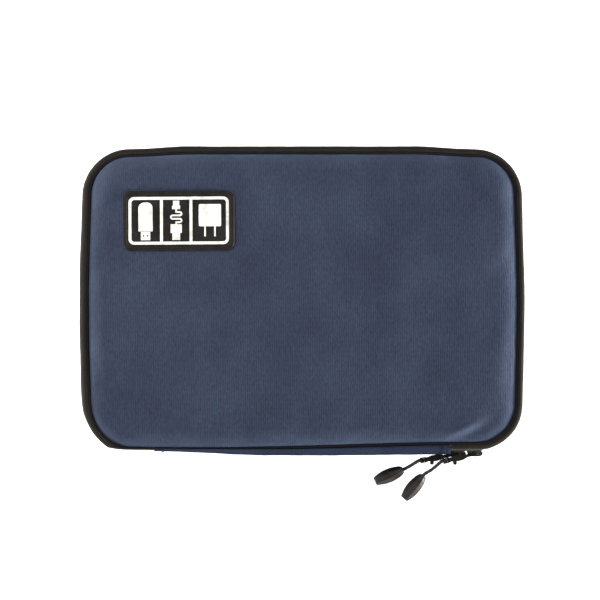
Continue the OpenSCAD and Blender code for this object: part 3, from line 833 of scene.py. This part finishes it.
def build_spine():
    """One strip of fabric from the back, up the spine and over the fold to the front piping."""
    front_y = -HALF_D - PANEL_OUT - 1.75
    line = smooth_line([(front_y, 1.0), (SPINE_Y + 1.2, 0.75), (SPINE_Y + 0.2, 1.6),
                        (SPINE_Y - 0.1, 4.5), (SPINE_Y - 0.25, 10), (SPINE_Y - 0.25, 16),
                        (SPINE_Y - 0.05, 21.5), (SPINE_Y + 0.1, 24.4), (SPINE_Y + 0.6, 26.2),
                        (SPINE_Y + 1.9, 27.7), (front_y, 28.4)], 5)
    profile = thick_profile(line, 0.8)
    around = run_along(line)
    around = np.concatenate([around, around[::-1]])
    xs = np.linspace(-SPINE_X - 0.8, SPINE_X + 1.9, 130)
    verts, cloth = [], []
    for x in xs:
        to_right, to_left = xs[-1] - x, x - xs[0]
        edge = min(to_right, to_left)
        end = max(0.0, 1 - edge / 5.0)
        fold = 0.35 if edge < HEM - 0.2 else 0.0
        seam = sum(0.5 * math.exp(-((gap - HEM) / 0.5) ** 2) for gap in (to_right, to_left))
        for k, (y, z) in enumerate(profile):
            push = seam - fold if k >= len(line) else 0.0
            middle = math.sin(math.pi * min(max((z - 2) / 26, 0), 1))
            loose = 0.5 * middle * wave_noise(x, z, 17, 5.0) + 0.2 * wave_noise(x, z, 6, 9.0)
            y += push * 0.6 * middle + (loose * 0.5 if middle > 0 else 0)
            verts.append((x - 0.4 * end * math.copysign(1, x) * (1 - middle), y, z))
            cloth.append((x, around[k]))
    faces = loft_faces(len(xs), len(profile))
    strip = mesh_piece("spine_strip", soften(verts), faces, navy_spine, None, "navy_fabric", cloth)
    over_fold(strip)
    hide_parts("spine_panel", "spine_flap")

    placements = []
    run = 0.0
    for a, b in zip(line[4:-2], line[5:-1]):
        size = np.linalg.norm(b - a)
        run += size
        if run < SPINE_STITCH_PITCH:
            continue
        run = 0.0
        along = (0, *((b - a) / size))
        out = (0, -along[2], along[1])
        for x in (SPINE_X - 3.6, 3.6 - SPINE_X):
            place = np.array((x, *((a + b) / 2))) + np.array(out) * 0.55
            placements.append((place, along, (1, 0, 0), out))
    over_fold(scatter("spine_end_stitches", capsule(2.3, 0.42), placements, piping_cloth, None,
                      soft=True))
    upright_board("spine_lining_cloth", "spine_lining", lining_cloth, "lining", 0.18)
    upright_board("spine_board", "spine_stiffener", foam_look, "foam", 0.0)


def upright_board(name, node, material, slot, bulge):
    """A thin upright sheet that fills its CAD box and follows the softened spine."""
    low, high = box_mm(node)
    middle, thick = (low[1] + high[1]) / 2, (high[1] - low[1]) / 2
    xs = np.linspace(low[0], high[0], 90)
    zs = np.linspace(low[2] + 0.1, high[2] - 0.1, 12)
    sheet = [(x, middle + side * thick + bulge * wave_noise(x, z, 12, 2.0), z)
             for side in (-1, 1) for x in xs for z in zs]
    mesh_piece(name, soften(sheet), sheet_faces(len(xs), len(zs)), material, "base", slot, node=node)


# ---------- linings ----------

LINING_THICK = 0.3


def build_lining(name, node, body, floor, wall_top, side):
    """Lining that covers the padding and turns up the inside of the gusset."""
    points, normals, lengths = closed_path(2.4)
    n = len(points)
    profile = [(-1.35, wall_top), (-1.5, floor + side * 2.2), (-2.2, floor + side * 0.9),
               (-3.6, floor + side * 0.25), (-5.5, floor)]

    def fit(z, point):
        """The lid's lining lies flat along the spine, where the lid has no wall."""
        near_spine = abs(point[0]) < SPINE_X + 1.5 and point[1] < -HALF_D + 1
        return floor + (z - floor) * 0.1 if near_spine and body == "lid" else z

    verts = [(x, y, fit(z, point) - side * 0.02) for out, z in profile
             for (x, y), point in zip(points + normals * out, points)]
    inner = points + normals * -20
    scales = (1.0, 0.85, 0.7, 0.55, 0.4, 0.25, 0.1)
    verts += [(x, y, floor + side * (0.12 * wave_noise(x, y, 24, 2.5) - 0.05))
              for scale in scales for x, y in inner * scale]
    hub = len(verts)
    verts.append((0, 0, floor - side * 0.05))
    faces = loft_faces(len(profile) + len(scales), n, caps=False) + fan(hub - n, n, hub)
    obj = mesh_piece(name, soften(verts), faces, lining_cloth, body, "lining", node=node)
    solid = obj.modifiers.new("thickness", "SOLIDIFY")
    solid.thickness = LINING_THICK * MM
    solid.offset = 0


def build_bindings():
    for name, node, body, z in (
            ("back_binding_tape", "back_binding", "base", lining_high[2] + 0.35),
            ("front_binding_tape", "front_binding", "lid", roof_low[2] - 0.35)):
        verts, faces, cloth = sweep(closed_path(2.0), round_profile(-7.2, z, 1.6, 0.45, 10), True)
        mesh_piece(name, verts, faces, binding_cloth, body, "binding", cloth, node=node)


# ---------- elastic loops ----------

STRAP_THICK = 0.9
STRAP_ROWS = (("elastic_row_front", 9), ("elastic_row_middle", 7), ("elastic_row_rear", 11))


def strap_line(left, loops, radius, pitch):
    """Side view of a strap as (x, z): flat stretches and raised arches."""
    line = [(left + 0.2, 0.0)]
    r = radius + STRAP_THICK / 2
    for i in range(loops):
        centre = left + 2 + i * pitch + radius + STRAP_THICK
        line.append((centre - r - 0.9, 0.0))
        for a in np.linspace(math.pi, 0, 17):
            flat = 1 - 0.05 * math.sin(i * 2.3) ** 2
            line.append((centre + r * math.cos(a) * (1 - 0.04 * math.sin(a)),
                         0.25 + (r - 0.25) * math.sin(a) * flat))
        line.append((centre + r + 0.9, 0.0))
    line.append((left + 2 + loops * pitch - 0.2, 0.0))
    return np.array(line)


def build_straps():
    placements = []
    for node, loops in STRAP_ROWS:
        low, high = box_mm(node)
        pitch = (high[0] - low[0] - 2) / loops
        radius = (pitch - 2) / 2 - STRAP_THICK
        line = strap_line(low[0], loops, radius, pitch)
        line[:, 1] += low[2] + 0.42
        profile = thick_profile(line, 0.75)
        run = run_along(line)
        run = np.concatenate([run, run[::-1]])
        ys = np.linspace(low[1] + 0.3, high[1] - 0.3, 15)
        verts, cloth = [], []
        for j, y in enumerate(ys):
            lip = 0.048 if j in (0, 1, len(ys) - 2, len(ys) - 1) else 0.0
            for k, (x, z) in enumerate(profile):
                raised = min(1.0, max(0.0, (z - low[2] - 1.2) / 6))
                sway = raised * 0.5 * wave_noise(x, y, 30, 6.0)
                verts.append((x + sway, y, z + (lip if k < len(line) else -lip)))
                cloth.append((y, run[k]))
        faces = loft_faces(len(ys), len(profile))
        mesh_piece(node + "_webbing", verts, faces, elastic_cloth, "base", "elastic", cloth, node=node)
        for i in range(loops + 1):
            for step, y in enumerate(np.arange(low[1] + 1.6, high[1] - 1, 1.55)):
                lean = 0.5 if step % 2 else -0.5
                along = np.array((lean, 1.0, 0.0)) / math.hypot(lean, 1)
                placements.append(((low[0] + 1 + i * pitch, y, low[2] + 0.95), along,
                                   (along[1], -along[0], 0), (0, 0, 1)))
    scatter("strap_bar_tacks", capsule(1.5, 0.28), placements, thread_look, "base",
            node="strap_stitches")


# ---------- net pocket ----------

NET_CELL = 3.1


def build_net():
    """Hexagonal net: one face per hole, turned into thin strands."""
    low, high = box_mm("mesh_pocket")
    side = NET_CELL / math.sqrt(3)
    columns = int((high[0] - low[0]) / (1.5 * side))
    rows = int((high[1] - low[1]) / NET_CELL)
    verts, faces, made = [], [], {}

    def corner(x, y):
        key = (round(x, 2), round(y, 2))
        if key not in made:
            made[key] = len(verts)
            slack = 0.5 * math.sin(math.pi * (x - low[0]) / (high[0] - low[0]))
            verts.append((x, y, low[2] + 0.25 - slack + 0.15 * wave_noise(x, y, 25, 8.0)))
        return made[key]

    for i in range(columns):
        cx = low[0] + side + i * 1.5 * side
        for j in range(rows):
            cy = low[1] + NET_CELL / 2 + j * NET_CELL + (NET_CELL / 2 if i % 2 else 0)
            if cy + NET_CELL / 2 <= high[1] + 1.0:
                turns = [math.radians(60 * k) for k in range(6)]
                faces.append([corner(cx + side * math.cos(a), cy + side * math.sin(a)) for a in turns])
    net = mesh_piece("pocket_net", verts, faces, net_thread, "lid", "mesh", smooth=False,
                     node="mesh_pocket")
    wires = net.modifiers.new("strands", "WIREFRAME")
    wires.thickness = 0.55 * MM
    wires.use_replace = True
    wires.use_even_offset = False


def flat_strips(name, node, material, slot, z, thickness, crown, areas):
    """Flat woven strips with soft edges in one piece. An area is (x0, x1, y0, y1)."""
    shapes, cloth = [], []
    for x0, x1, y0, y1 in areas:
        xs = np.linspace(x0, x1, max(2, int((x1 - x0) / 2.5)))
        ys = np.linspace(y0, y1, max(4, int((y1 - y0) / 1.2)))
        verts = []
        for side in (-1, 1):
            for x in xs:
                for y in ys:
                    edge = min(y - y0, y1 - y, x - x0, x1 - x)
                    thick = thickness / 2 * (0.35 + 0.65 * min(1.0, edge / 0.8))
                    verts.append((x, y, z + side * thick + crown * wave_noise(x, y, 15, 1.0)))
                    cloth.append((x, y))
        shapes.append((verts, sheet_faces(len(xs), len(ys))))
    mesh_piece(name, *merge(shapes), material, "lid", slot, cloth, node=node)


def build_pocket():
    build_net()
    low, high = box_mm("pocket_binding")
    net_low, net_high = box_mm("mesh_pocket")
    left, right, front = net_low[0] + 0.8, net_high[0] - 0.8, net_low[1]
    flat_strips("pocket_edging", "pocket_binding", binding_cloth, "binding", low[2] + 0.75, 1.4, 0.1,
                ((low[0], high[0], low[1], front + 0.8), (low[0], left, front, high[1]),
                 (right, high[0], front, high[1])))

    tape_low, tape_high = box_mm("pocket_zipper_tape")
    middle = (tape_low[1] + tape_high[1]) / 2
    flat_strips("pocket_tape_weave", "pocket_zipper_tape", tape_cloth, "zipper_tape",
                (tape_low[2] + tape_high[2]) / 2, 0.4, 0.05,
                ((tape_low[0], tape_high[0], tape_low[1] - 0.4, middle - 0.9),
                 (tape_low[0], tape_high[0], middle + 0.9, tape_high[1] + 0.4)))

    teeth_low, teeth_high = box_mm("pocket_zipper_teeth")
    teeth_z = (teeth_low[2] + teeth_high[2]) / 2
    placements = [((x, middle - row * 1.1, teeth_z), (1, 0, 0), (0, 0, 1), (0, row, 0))
                  for row, shift in ((1, 0.0), (-1, 0.8))
                  for x in np.arange(teeth_low[0] + 1 + shift, teeth_high[0] - 0.8, 1.6)]
    scatter("pocket_teeth_row", tooth(1.2, 1.35, 0.85), placements, nylon, "lid", "zipper_teeth",
            "pocket_zipper_teeth")

    across, away, up = (1, 0, 0), (0, 1, 0), (0, 0, 1)
    placements = []
    for y, z, start, stop in ((low[1] + 1.9, low[2] + 0.02, 2, 1),
                              (teeth_low[1] - 4.2, teeth_low[2] + 0.3, 5, 4),
                              (teeth_high[1] + 4.2, teeth_low[2] + 0.3, 5, 4)):
        for x in np.arange(low[0] + start, high[0] - stop, 3.1):
            placements.append(((x, y, z), across, away, up))
    for x in (low[0] + 1.9, high[0] - 1.9):
        for y in np.arange(low[1] + 4, high[1] - 1, 3.1):
            placements.append(((x, y, low[2] + 0.02), away, across, up))
    scatter("pocket_stitches", capsule(2.2, 0.24), placements, thread_look, "lid")
    finish_cad("pocket_slider", slider_paint, 0.22)
    finish_cad("pocket_pull", slider_paint, 0.25)


# ---------- badge ----------

BADGE_LEAN = math.radians(0.4)
BADGE_HALF_W, BADGE_HALF_H, BADGE_R = 31, 16.7, 4.6


def badge_outline(half_w, half_h, r, per_corner=8):
    pts = []
    for cx, cy, a0 in ((half_w - r, -half_h + r, -90), (half_w - r, half_h - r, 0),
                       (-half_w + r, half_h - r, 90), (-half_w + r, -half_h + r, 180)):
        for i in range(per_corner + 1):
            a = math.radians(a0 + 90 * i / per_corner)
            pts.append((cx + r * math.cos(a), cy + r * math.sin(a)))
    return pts


def on_badge(x, y, z):
    centre = (badge_low + badge_high) / 2
    c, s = math.cos(BADGE_LEAN), math.sin(BADGE_LEAN)
    return (centre[0] + c * x - s * y, centre[1] + s * x + c * y, z)


def build_badge():
    """Soft moulded badge: rounded rim, sunk field, sewn line; the print keeps its CAD shape."""
    base, field, rim = badge_low[2] - 0.35, badge_low[2] + 0.97, badge_high[2] + 0.15
    stations = [(0.0, base), (0.0, field - 0.3), (0.12, rim - 0.35), (0.5, rim - 0.06), (1.0, rim),
                (1.7, rim - 0.02), (2.2, rim - 0.16), (2.5, field + 0.12), (2.75, field)]
    rings = [[on_badge(x, y, z) for x, y in badge_outline(BADGE_HALF_W - inset, BADGE_HALF_H - inset,
                                                         BADGE_R - inset * 0.55)]
             for inset, z in stations]
    mesh_piece("badge_moulding", sum(rings, []), loft_faces(len(rings), len(rings[0])), badge_rubber,
               "lid", "badge_rubber", node="badge_base")
    finish_cad("badge_print", badge_ink, 0.08)

    placements = []
    c, s = math.cos(BADGE_LEAN), math.sin(BADGE_LEAN)
    right, up, out = (c, s, 0), (-s, c, 0), (0, 0, 1)
    for x in np.arange(5 - BADGE_HALF_W, BADGE_HALF_W - 4, 2.6):
        for y in (1.25 - BADGE_HALF_H, BADGE_HALF_H - 1.25):
            placements.append((on_badge(x, y, rim - 0.02), right, up, out))
    for y in np.arange(5 - BADGE_HALF_H, BADGE_HALF_H - 4, 2.6):
        for x in (1.25 - BADGE_HALF_W, BADGE_HALF_W - 1.25):
            placements.append((on_badge(x, y, rim - 0.02), up, right, out))
    scatter("badge_thread", capsule(1.7, 0.22), placements, piping_cloth, "lid",
            node="badge_stitches")


# ---------- sliders and pulls ----------

def slab(outline, depth, centre, ax, ay, az):
    """A flat plate: a 2D outline in the plane of ax and ay, depth along az."""
    centre, ax, ay, az = (np.array(v, dtype=float) for v in (centre, ax, ay, az))
    verts = [centre + ax * u + ay * v + az * d for d in (0, depth) for u, v in outline]
    return verts, loft_faces(2, len(outline))


def build_slider(letter):
    """Slider body: two waisted plates, side rails, the post between the teeth, and the bail."""
    low, high = box_mm("slider_" + letter)
    cx = (low[0] + high[0]) / 2
    half = (high[0] - low[0]) / 2
    edge = -HALF_D
    lower = [(-half, -2.6), (-half + 0.7, -3.3), (-1.2, -3.3), (1.4, -4.0), (half - 1.0, -4.0),
             (half, -3.1), (half, -0.9)]
    plan = lower + [(half - 0.9, 0)] + [(u, -v) for u, v in reversed(lower)]
    along, up, out = (1, 0, 0), (0, 0, 1), (0, -1, 0)
    shapes = [slab(plan, 0.8, (cx, edge - 0.25, ZIP_Z), along, up, out),
              slab(plan, 0.75, (cx, edge + 4.25, ZIP_Z), along, up, out)]
    for side in (-1, 1):
        rail = [(-half + 0.6, side * 2.4), (half - 1.0, side * 3.1), (half - 1.0, side * 4.0),
                (1.4, side * 4.0), (-1.2, side * 3.3), (-half + 0.6, side * 3.3)]
        shapes.append(slab(rail, 0.55, (cx, edge + 0.25, ZIP_Z), along, up, out))
    post = [(half - 3.4, -0.28), (half - 0.8, -0.28), (half - 0.8, 0.28), (half - 3.4, 0.28)]
    shapes.append(slab(post, 1.2, (cx, edge + 3.8, ZIP_Z), along, up, out))
    pin = edge - joint("pull_%s_flip" % letter)["pos_m"][1] * 1000
    arch_in, arch_out = [], []
    for t in np.linspace(0, math.pi, 13):
        flat = abs(math.cos(t)) ** 0.5 * math.copysign(1, math.cos(t))
        arch_out.append((4.4 * flat, 0.3 + 3.2 * math.sin(t) ** 0.6))
        arch_in.append((0.62 * math.cos(t), pin + 0.62 * math.sin(t)))
    arch = arch_out + [(-0.62, 0.3)] + arch_in[::-1] + [(0.62, 0.3)]
    shapes.append(slab(arch, 1.6, (cx, edge, ZIP_Z - 0.8), along, out, up))
    web = [(-0.75, 0.3), (0.75, 0.3), (0.75, pin - 0.6), (-0.75, pin - 0.6)]
    shapes.append(slab(web, 1.5, (cx, edge, ZIP_Z - 0.75), along, out, up))
    verts, faces = merge(shapes)
    obj = mesh_piece("slider_casting_" + letter, verts, faces, slider_paint,
                     "slider_%s_body" % letter, "slider_metal", smooth=False,
                     node="slider_" + letter)
    bevel(obj, 0.16, 2, 40)


def build_pull(letter, start, lift):
    """Pull tab: two arms round the bail's pin, a neck, a rounded tab with a nub, and its eye.

    start is how far from the pin the tab begins, and lift how high above it. Returns the eye's
    place and the directions ahead of the tab and across it.
    """
    flip = joint("pull_%s_flip" % letter)
    lift_joint = joint("cord_%s_lift" % letter)
    pivot = np.array(flip["pos_m"]) * 1000
    eye = np.array(lift_joint["pos_m"]) * 1000
    ahead = eye - pivot
    ahead[2] = 0
    reach = np.linalg.norm(ahead)
    ahead /= reach
    side = np.array((-ahead[1], ahead[0], 0))
    up = np.array((0, 0, 1.0))

    def arc(cx, cy, r, a0, a1, count=7):
        return [(cx + r * math.cos(math.radians(a)), cy + r * math.sin(math.radians(a)))
                for a in np.linspace(a0, a1, count)]

    arm = arc(0, 0, 0.95, 90, 270) + [(start + 1.2, -0.85), (start + 1.2, 0.85)]
    shapes = []
    for z in (-2.25, 0.95):
        shapes.append(slab(arm, 1.3, pivot + up * z, ahead, side, up))
    pin = arc(0, 0, 0.45, 0, 330, 12)
    shapes.append(slab(pin, 4.3, pivot - up * 2.15, ahead, side, up))
    neck = [(3.9, -0.85), (start + 1.2, -0.85), (start + 1.2, 0.85), (3.9, 0.85)]
    shapes.append(slab(neck, 2.2, pivot - up * 1.1, ahead, side, up))
    if lift:
        riser = [(start - 0.4, -0.85), (start + 1.4, -0.85), (start + 1.4, 0.85),
                 (start - 0.4, 0.85)]
        shapes.append(slab(riser, lift + 0.8, pivot - up * 0.4, ahead, side, up))
    tab_end = reach - 1.2
    waist = start + (reach - start) * 0.62
    half = [(start - 0.5, -0.9), (start + 2.2, -1.8), (waist - 0.4, -1.8), (waist + 0.6, -1.3),
            (tab_end - 1.3, -1.25), (tab_end - 0.9, -1.6), (tab_end - 0.1, -1.6), (tab_end, -1.4)]
    tab = half + [(u, -v) for u, v in reversed(half)]
    shapes.append(slab(tab, 2.4, pivot + up * (lift - 1.2), ahead, side, up))
    nub = arc(waist - 0.6, 2.3, 1.15, 0, 330, 12)
    shapes.append(slab(nub, 1.5, pivot + up * (lift - 0.75), ahead, side, up))
    boss = arc(0, 0, 1.3, -100, 100, 11) + [(-1.4, 1.2), (-1.4, -1.2)]
    for offset in (-1.6, 0.9):
        shapes.append(slab(boss, 0.7, eye + side * offset, ahead, up, side))
    verts, faces = merge(shapes)
    obj = mesh_piece("pull_tab_" + letter, verts, faces, tab_plastic, "pull_%s_body" % letter,
                     "pull_plastic", smooth=False, node="pull_" + letter)
    bevel(obj, 0.3, 3, 35)
    return eye, ahead, side


GRIP_TURN = {"a": 203, "b": 230}
GRIP_HALF = 8.5
# Eight-sided barrel, thickest in its middle, with a short collar at the cord: place along it and radius.
GRIP_STATIONS = ((-8.7, 1.2), (-8.6, 1.75), (-8.2, 2.1), (-7.9, 2.2), (-7.7, 2.55), (-5.6, 3.3),
                 (-3.0, 3.85), (-0.4, 4.05), (2.2, 3.95), (4.8, 3.5), (7.2, 2.8), (8.1, 2.45),
                 (8.45, 2.1), (8.5, 1.2))
GRIP_SIDES = 8


def build_cord_and_grip(letter, eye, ahead, side):
    grip_low, grip_high = box_mm("grip_" + letter)
    centre = (grip_low + grip_high) / 2
    turn = math.radians(GRIP_TURN[letter])
    axis = np.array((math.cos(turn), math.sin(turn), 0.0))
    across = np.array((-axis[1], axis[0], 0.0))
    up = np.array((0, 0, 1.0))
    body = "cord_%s_body" % letter
    near = centre - axis * GRIP_HALF
    middle = eye * 0.45 + near * 0.55 + ahead * 0.5 + up * 0.7
    path = smooth_line([eye - ahead * 0.8, eye + ahead * 0.4, eye + ahead * 2.2 - up * 0.25, middle,
                        near - axis * 1.3 + up * 0.25, near + axis, near + axis * 3], 8)
    cord = tube(path, 0.98 + 0.04 * np.cos(np.arange(len(path)) * 1.7), 14)
    knot = tube([eye + side * t for t in (-0.85, -0.4, 0.4, 0.85)], (1.05, 1.25, 1.25, 1.05), 14)
    mesh_piece("cord_braid_" + letter, *merge([cord[:2], knot[:2]]), cord_braid, body, "cord",
               cord[2] + knot[2], node="cord_" + letter)

    angles = [2 * math.pi * (k + 0.5) / GRIP_SIDES for k in range(GRIP_SIDES)]
    verts = [centre + axis * t + across * r * 1.04 * math.cos(a) + up * r * math.sin(a)
             for t, r in GRIP_STATIONS for a in angles]
    grip = mesh_piece("grip_barrel_" + letter, verts, loft_faces(len(GRIP_STATIONS), GRIP_SIDES),
                      grip_rubber, body, "grip_rubber", smooth=False, node="grip_" + letter)
    bevel(grip, 0.35, 3, 25)


# ---------- floor, light and camera ----------

WORLD_SIDES = 1.25
WORLD_TOP = 0.35
FLOOR_GLOW = 0.6
FLOOR_HALF = 3000
# name, place in metres, size in metres, power in watts
LAMPS = (("key", (-0.30, 0.26, 0.36), 0.25, 2.4),
         ("low_right", (1.05, -0.16, 0.16), 0.22, 48.0),
         ("low_left", (-0.90, -0.38, 0.20), 0.25, 14.0))


def studio_world():
    """Bright soft surroundings that are dimmer straight above, so flat tops look deeper."""
    world = bpy.data.worlds.new("studio")
    world.use_nodes = True
    tree = world.node_tree
    way = tree.nodes.new("ShaderNodeTexCoord")
    split = tree.nodes.new("ShaderNodeSeparateXYZ")
    level = tree.nodes.new("ShaderNodeMapRange")
    level.inputs["From Min"].default_value = 0.70
    level.inputs["From Max"].default_value = 0.97
    level.inputs["To Min"].default_value = WORLD_SIDES
    level.inputs["To Max"].default_value = WORLD_TOP
    tree.links.new(way.outputs["Generated"], split.inputs[0])
    tree.links.new(split.outputs["Z"], level.inputs["Value"])
    tree.links.new(level.outputs[0], tree.nodes["Background"].inputs["Strength"])
    tree.nodes["Background"].inputs["Color"].default_value = (1, 1, 1, 1)
    bpy.context.scene.world = world


def build_stage():
    n = Nodes("floor_white")
    place = n.place("object")
    white = n.mix(n.cloud(place, 60, 2.0), rgb(0.86, 0.86, 0.86), rgb(0.88, 0.88, 0.88))
    n.surface({"Base Color": white, "Emission Color": white, "Emission Strength": FLOOR_GLOW,
               "Roughness": 0.9})
    corners = [(x * FLOOR_HALF, y * FLOOR_HALF, -0.3) for x, y in ((-1, -1), (1, -1), (1, 1), (-1, 1))]
    mesh_piece("floor", corners, [(0, 1, 2, 3)], n.mat, None, None)
    studio_world()
    for name, place, size, power in LAMPS:
        data = bpy.data.lights.new(name, "AREA")
        data.size = size
        data.energy = power
        lamp = new_object(name, data)
        lamp.location = place
        lamp.rotation_euler = (-Vector(place)).to_track_quat("-Z", "Y").to_euler()
    bpy.context.scene.view_settings.view_transform = "Standard"


CAMERA_TILT = 3.4
CAMERA_FAR = 1.5
SENSOR = 36
VIEW_WIDTH = 0.334
LOOK_AT = (-0.0008, -0.0005, 0.026)


def build_camera():
    """Almost straight down, tipped a little towards the spine."""
    data = bpy.data.cameras.new("camera")
    data.sensor_width = SENSOR
    tilt = math.radians(CAMERA_TILT)
    data.lens = SENSOR * CAMERA_FAR / VIEW_WIDTH
    camera = new_object("camera", data)
    camera.location = Vector(LOOK_AT) + Vector((0, -math.sin(tilt), math.cos(tilt))) * CAMERA_FAR
    camera.rotation_euler = (tilt, 0, 0)
    bpy.context.scene.camera = camera


build_panels()
build_piping()
build_gussets()
build_tapes()
build_teeth()
build_side_stitches()
build_end_stops()
build_spine()
build_lining("back_lining_cloth", "back_lining", "base", lining_high[2] - 0.1,
             base_gusset_high[2] - 0.6, 1)
build_lining("front_lining_cloth", "front_lining", "lid", roof_low[2] + 0.1,
             gusset_low[2] + 0.6, -1)
build_bindings()
build_straps()
build_pocket()
build_badge()
for letter, start, lift in (("a", 8.6, 0.0), ("b", 5.4, 3.75)):
    build_slider(letter)
    build_cord_and_grip(letter, *build_pull(letter, start, lift))
build_stage()
build_camera()
